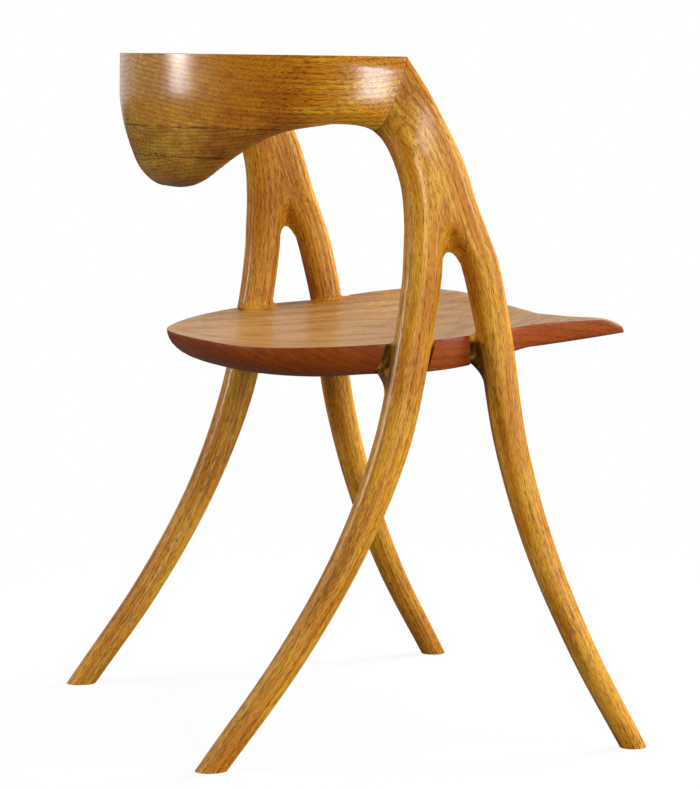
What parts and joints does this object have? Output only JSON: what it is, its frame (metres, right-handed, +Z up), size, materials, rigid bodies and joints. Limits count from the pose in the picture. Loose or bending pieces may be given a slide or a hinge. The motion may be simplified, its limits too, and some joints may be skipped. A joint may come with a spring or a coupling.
{
  "type": "sculpted armchair",
  "caption": "Hardwood armchair: swept legs join in posts, a horseshoe crest meets them in mitres, dished saddle seat.",
  "frame": {"origin": "floor level under the middle of the chair's bounding box", "axes": "+Z up, the sitter faces -Y, +X to the sitter's left"},
  "size_m": [0.5888, 0.5195, 0.762],
  "materials": {
    "seat_oak": "oiled oak, satin, dished and sanded, grain front to back",
    "leg_oak": "oiled oak, satin, grain along the leg",
    "crest_oak": "oiled oak, satin, grain along the curve",
    "joint_wood": "bare hardwood, planed, glued in and hidden"
  },
  "bodies": {
    "root": {"seat_board_far_right": "seat_oak", "seat_board_right": "seat_oak", "seat_board_middle": "seat_oak", "seat_board_left": "seat_oak", "seat_board_far_left": "seat_oak", "seat_dowels": "joint_wood", "rear_leg_right": "leg_oak", "rear_leg_left": "leg_oak", "front_leg_right": "leg_oak", "front_leg_left": "leg_oak", "rear_leg_tenon_right": "joint_wood", "rear_leg_tenon_left": "joint_wood", "front_leg_tenon_right": "joint_wood", "front_leg_tenon_left": "joint_wood", "post_tenons_right": "joint_wood", "post_tenons_left": "joint_wood", "mitre_tenon_right": "joint_wood", "mitre_tenon_left": "joint_wood", "crest_arm_right": "crest_oak", "crest_arm_left": "crest_oak", "crest_middle_layer": "crest_oak", "crest_lower_layer": "crest_oak", "crest_spline": "joint_wood"}
  },
  "joints": []
}
